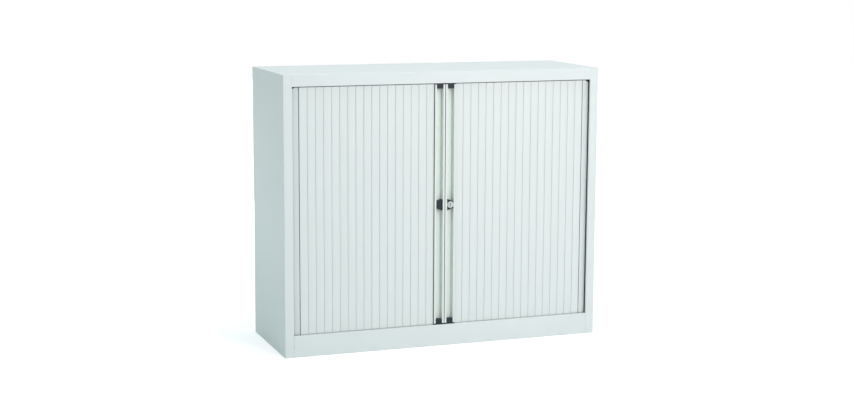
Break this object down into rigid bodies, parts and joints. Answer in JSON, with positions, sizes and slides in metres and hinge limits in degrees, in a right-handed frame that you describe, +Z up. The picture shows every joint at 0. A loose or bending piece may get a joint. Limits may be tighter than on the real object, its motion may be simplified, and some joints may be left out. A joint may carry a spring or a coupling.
{
  "type": "roll front cupboard",
  "caption": "Low free-standing steel cupboard with two side-opening roll fronts, lead posts with finger channels, a cam lock, shelves and a plinth.",
  "frame": {"origin": "centre of the footprint on the floor", "axes": "+X to the right as seen from the front, +Y from the front to the back, +Z up; the roll fronts face -Y"},
  "size_m": [1.2, 0.43, 1],
  "materials": {
    "carcass_paint": "fine smooth powder coat, semi-matt, pale cool grey-white",
    "interior_paint": "fine smooth powder coat, semi-matt",
    "slat_plastic": "extruded slats, satin, pale grey-white",
    "post_paint": "painted extrusion, satin, pale warm white",
    "black_plastic": "moulded, fine matt texture, near black",
    "track_plastic": "moulded, slippery satin grey",
    "lock_chrome": "bright plated die-casting",
    "zinc": "zinc plated",
    "foot_plastic": "moulded, black"
  },
  "bodies": {
    "carcass": {"left_side_panel": "carcass_paint", "right_side_panel": "carcass_paint", "top_panel": "carcass_paint", "plinth": "carcass_paint", "back_panel": "carcass_paint", "base_pan": "carcass_paint", "ceiling_pan": "carcass_paint", "left_bottom_track": "track_plastic", "right_bottom_track": "track_plastic", "left_top_track": "track_plastic", "right_top_track": "track_plastic", "left_inner_liner": "interior_paint", "right_inner_liner": "interior_paint", "back_liner": "interior_paint", "lower_shelf": "interior_paint", "upper_shelf": "interior_paint", "lower_shelf_clips": "zinc", "upper_shelf_clips": "zinc", "front_left_foot_bracket": "zinc", "front_right_foot_bracket": "zinc", "rear_left_foot_bracket": "zinc", "rear_right_foot_bracket": "zinc"},
    "left_shutter": {"left_lead_post": "post_paint", "left_post_bottom_cap": "black_plastic", "left_post_top_cap": "black_plastic", "catch_housing": "black_plastic", "striker_stud": "zinc", "left_front_slats": "slat_plastic", "left_corner_slats": "slat_plastic"},
    "right_shutter": {"right_lead_post": "post_paint", "right_post_bottom_cap": "black_plastic", "right_post_top_cap": "black_plastic", "lock_housing": "black_plastic", "lock_bezel": "lock_chrome", "lock_nut": "zinc", "right_front_slats": "slat_plastic", "right_corner_slats": "slat_plastic"},
    "lock_core": {"lock_plug": "lock_chrome", "lock_cam": "zinc", "cam_screw": "zinc"},
    "front_left_leveller": {"front_left_foot": "foot_plastic"},
    "front_right_leveller": {"front_right_foot": "foot_plastic"},
    "rear_left_leveller": {"rear_left_foot": "foot_plastic"},
    "rear_right_leveller": {"rear_right_foot": "foot_plastic"}
  },
  "joints": [
    {"name": "left_shutter_slide", "type": "slide", "parent": "carcass", "child": "left_shutter", "axis": [-1, 0, 0], "range_m": [0, 0.5], "deforming": ["left_front_slats", "left_corner_slats"]},
    {"name": "right_shutter_slide", "type": "slide", "parent": "carcass", "child": "right_shutter", "axis": [1, 0, 0], "range_m": [0, 0.5], "deforming": ["right_front_slats", "right_corner_slats"]},
    {"name": "lock_turn", "type": "hinge", "parent": "right_shutter", "child": "lock_core", "pos_m": [0.0208, -0.2, 0.5185], "axis": [0, -1, 0], "range_deg": [0, 90]},
    {"name": "front_left_foot_adjust", "type": "slide", "parent": "carcass", "child": "front_left_leveller", "axis": [0, 0, -1], "range_m": [0, 0.015]},
    {"name": "front_right_foot_adjust", "type": "slide", "parent": "carcass", "child": "front_right_leveller", "axis": [0, 0, -1], "range_m": [0, 0.015]},
    {"name": "rear_left_foot_adjust", "type": "slide", "parent": "carcass", "child": "rear_left_leveller", "axis": [0, 0, -1], "range_m": [0, 0.015]},
    {"name": "rear_right_foot_adjust", "type": "slide", "parent": "carcass", "child": "rear_right_leveller", "axis": [0, 0, -1], "range_m": [0, 0.015]}
  ]
}
